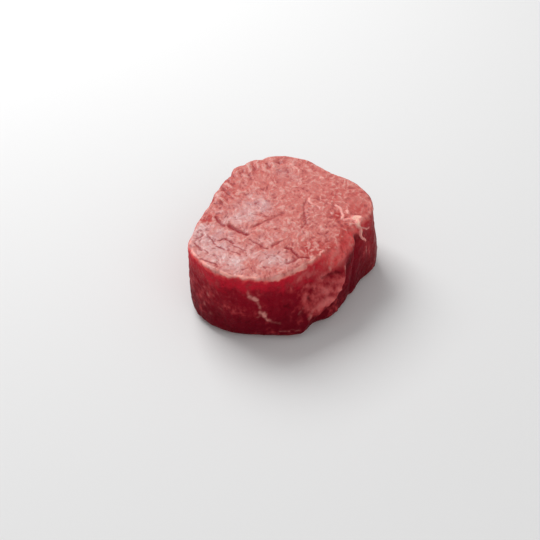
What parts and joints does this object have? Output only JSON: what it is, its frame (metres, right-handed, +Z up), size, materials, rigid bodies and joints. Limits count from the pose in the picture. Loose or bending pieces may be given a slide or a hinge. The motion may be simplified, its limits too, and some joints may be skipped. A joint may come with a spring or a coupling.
{
  "type": "rump steak",
  "caption": "Thick raw rump steak cut across the grain, an uneven round of lean beef lying on its cut face.",
  "frame": {"origin": "middle of the steak's outline, on the surface that the steak lies on", "axes": "+Z up through the thickness, +Y from the broad front towards the narrower back, +X to the right"},
  "size_m": [0.0938, 0.1024, 0.037],
  "materials": {
    "meat": "raw lean beef, moist, soft gloss"
  },
  "bodies": {
    "root": {"steak": "meat"}
  },
  "joints": []
}
